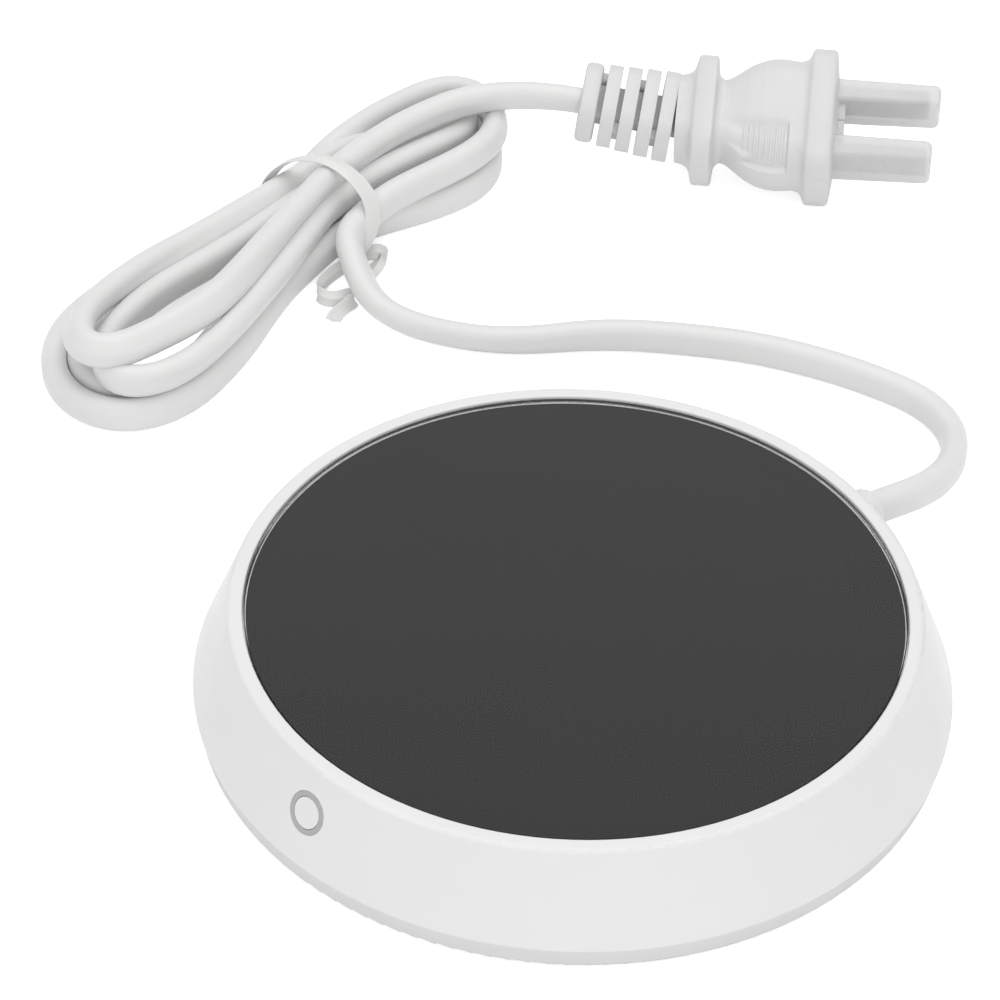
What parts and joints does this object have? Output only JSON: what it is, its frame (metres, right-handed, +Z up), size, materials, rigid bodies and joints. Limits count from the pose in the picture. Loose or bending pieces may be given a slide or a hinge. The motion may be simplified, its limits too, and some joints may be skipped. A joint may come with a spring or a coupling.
{
  "type": "electric mug warmer",
  "caption": "Round heated plate in a low conical housing, with a push button on the skirt and a mains cord tied in a hank, ending in a two-blade plug.",
  "frame": {"origin": "centre of the body's footprint, in the plane of the feet", "axes": "+Z up out of the heated plate; -Y towards the button; the cord leaves at 80 degrees from +X towards +Y"},
  "size_m": [0.1995, 0.2213, 0.0241],
  "materials": {
    "housing": "satin white ABS",
    "base": "satin off-white ABS",
    "glass": "polished",
    "enamel": "gloss black",
    "silicone": "matte",
    "spreader": "mill",
    "mica": "matte",
    "felt": "matte",
    "steel": "zinc plated",
    "rubber_feet": "matte",
    "button": "satin",
    "light_guide": "translucent grey",
    "board": "solder mask",
    "black_plastic": "matte",
    "ivory_plastic": "matte",
    "green_plastic": "matte",
    "yellow_plastic": "matte",
    "capacitor_can": "sleeved",
    "fuse_glass": "clear",
    "wire_white": "insulated wire",
    "wire_brown": "insulated wire",
    "cord_white": "soft PVC",
    "plug_white": "moulded PVC",
    "tie_white": "plastic-covered wire",
    "blade_metal": "plated",
    "sleeve_clear": "clear flexible plastic"
  },
  "bodies": {
    "base": {"top_shell": "housing", "base_cover": "base", "glass_plate": "glass", "enamel_layer": "enamel", "glass_seal": "silicone", "heat_spreader": "spreader", "heating_element": "mica", "insulation_pad": "felt", "retainer_plate": "steel", "retainer_screws": "steel", "case_screws": "steel", "rubber_feet": "rubber_feet", "ring_light_guide": "light_guide", "tact_switch": "black_plastic", "status_leds": "ivory_plastic", "key_board": "board", "key_board_screws": "steel", "key_harness": "wire_white", "harness_connector": "ivory_plastic", "control_board": "board", "board_screws": "steel", "terminal_block": "green_plastic", "board_fuse": "fuse_glass", "mains_capacitor": "yellow_plastic", "bridge_rectifier": "black_plastic", "smoothing_capacitor": "capacitor_can", "controller_chip": "black_plastic", "triac": "black_plastic", "thermal_cutout": "ivory_plastic", "cutout_leads": "wire_white", "temperature_sensor": "black_plastic", "sensor_leads": "wire_white", "heater_leads": "wire_white", "supply_leads": "wire_brown", "cord_clamp": "base", "cord_clamp_screws": "steel", "cord_gland": "cord_white", "cord_free_run": "cord_white", "cord_hank": "cord_white", "cord_plug_run": "cord_white", "twist_tie": "tie_white", "plug_body": "plug_white", "blade_bridge": "ivory_plastic", "plug_blades": "blade_metal"},
    "button": {"button_cap": "button", "switch_plunger": "black_plastic"},
    "sleeve_far": {"blade_sleeve_far": "sleeve_clear"},
    "sleeve_near": {"blade_sleeve_near": "sleeve_clear"}
  },
  "joints": [
    {"name": "button_press", "type": "slide", "parent": "base", "child": "button", "axis": [0, 0.9262, -0.377], "range_m": [0, 0.0005], "stiffness_N_per_m": 1500, "springref_m": -0.0003},
    {"name": "sleeve_far_pull", "type": "slide", "parent": "base", "child": "sleeve_far", "axis": [0.7931, 0.6086, 0.0262], "range_m": [0, 0.03]},
    {"name": "sleeve_near_pull", "type": "slide", "parent": "base", "child": "sleeve_near", "axis": [0.7931, 0.6086, 0.0262], "range_m": [0, 0.03]}
  ]
}
